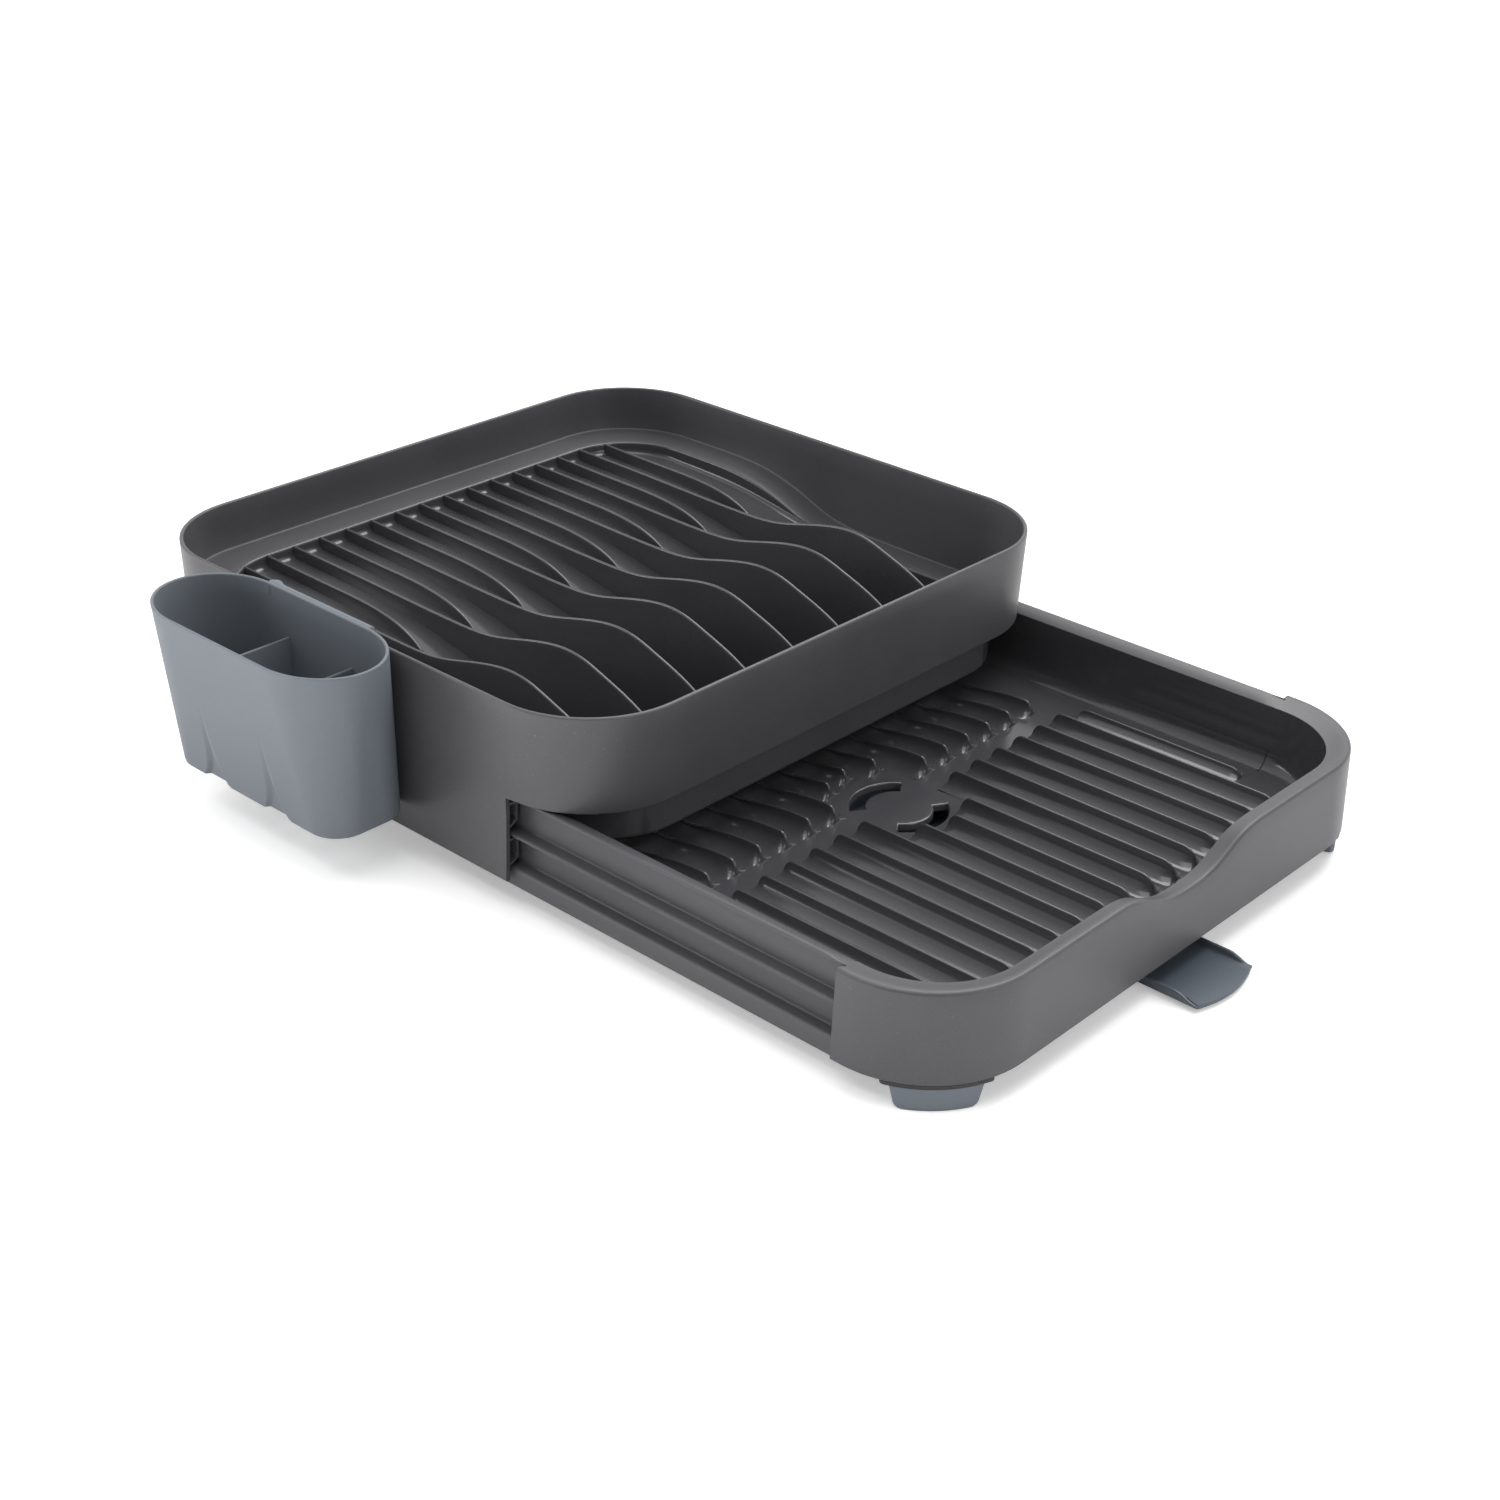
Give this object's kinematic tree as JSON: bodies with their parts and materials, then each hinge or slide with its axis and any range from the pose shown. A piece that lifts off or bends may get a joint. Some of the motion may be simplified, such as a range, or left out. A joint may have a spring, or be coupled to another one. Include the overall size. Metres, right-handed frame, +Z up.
{
  "type": "dish rack",
  "caption": "Dish rack with curved plate fins, a pull-out ribbed drip drawer, a hang-on cutlery caddy and a swivelling drain spout.",
  "frame": {"origin": "on the counter, under the middle of the whole object's box with the drawer out and the caddy hung", "axes": "+X the way the drawer pulls out, +Y towards the rack's far side (the caddy hangs on the -Y side), +Z up"},
  "size_m": [0.575, 0.4284, 0.119],
  "materials": {
    "rack_plastic": "satin moulded plastic, dark charcoal",
    "caddy_plastic": "matte moulded plastic, grey-blue",
    "accent_plastic": "satin moulded plastic, light grey-blue",
    "foot_rubber": "soft matte non-slip foot, grey-blue",
    "pad_rubber": "thin dark pad between foot and tray",
    "screw_steel": "plain steel screw head"
  },
  "bodies": {
    "rack": {"rack_body": "rack_plastic", "tall_fin_1": "rack_plastic", "tall_fin_2": "rack_plastic", "tall_fin_3": "rack_plastic", "tall_fin_4": "rack_plastic", "tall_fin_5": "rack_plastic", "tall_fin_6": "rack_plastic", "tall_fin_7": "rack_plastic", "tall_fin_8": "rack_plastic", "short_fin_1": "rack_plastic", "short_fin_2": "rack_plastic", "short_fin_3": "rack_plastic", "short_fin_4": "rack_plastic", "short_fin_5": "rack_plastic", "short_fin_6": "rack_plastic", "short_fin_7": "rack_plastic", "short_fin_8": "rack_plastic", "rear_foot_right": "foot_rubber", "rear_foot_left": "foot_rubber", "rear_pad_right": "pad_rubber", "rear_pad_left": "pad_rubber"},
    "caddy": {"caddy": "caddy_plastic"},
    "drawer": {"drawer": "rack_plastic", "front_foot_right": "foot_rubber", "front_foot_left": "foot_rubber", "front_pad_right": "pad_rubber", "front_pad_left": "pad_rubber", "pivot_washer": "accent_plastic", "pivot_screw": "screw_steel"},
    "spout": {"spout": "accent_plastic"}
  },
  "joints": [
    {"name": "caddy_lift", "type": "slide", "parent": "rack", "child": "caddy", "axis": [0, 0, 1], "range_m": [0, 0.15]},
    {"name": "drawer_slide", "type": "slide", "parent": "rack", "child": "drawer", "axis": [1, 0, 0], "range_m": [-0.202, 0]},
    {"name": "spout_swivel", "type": "hinge", "parent": "drawer", "child": "spout", "pos_m": [0.0895, 0.03175, 0], "axis": [0, 0, 1], "range_deg": [-90, 90]}
  ]
}
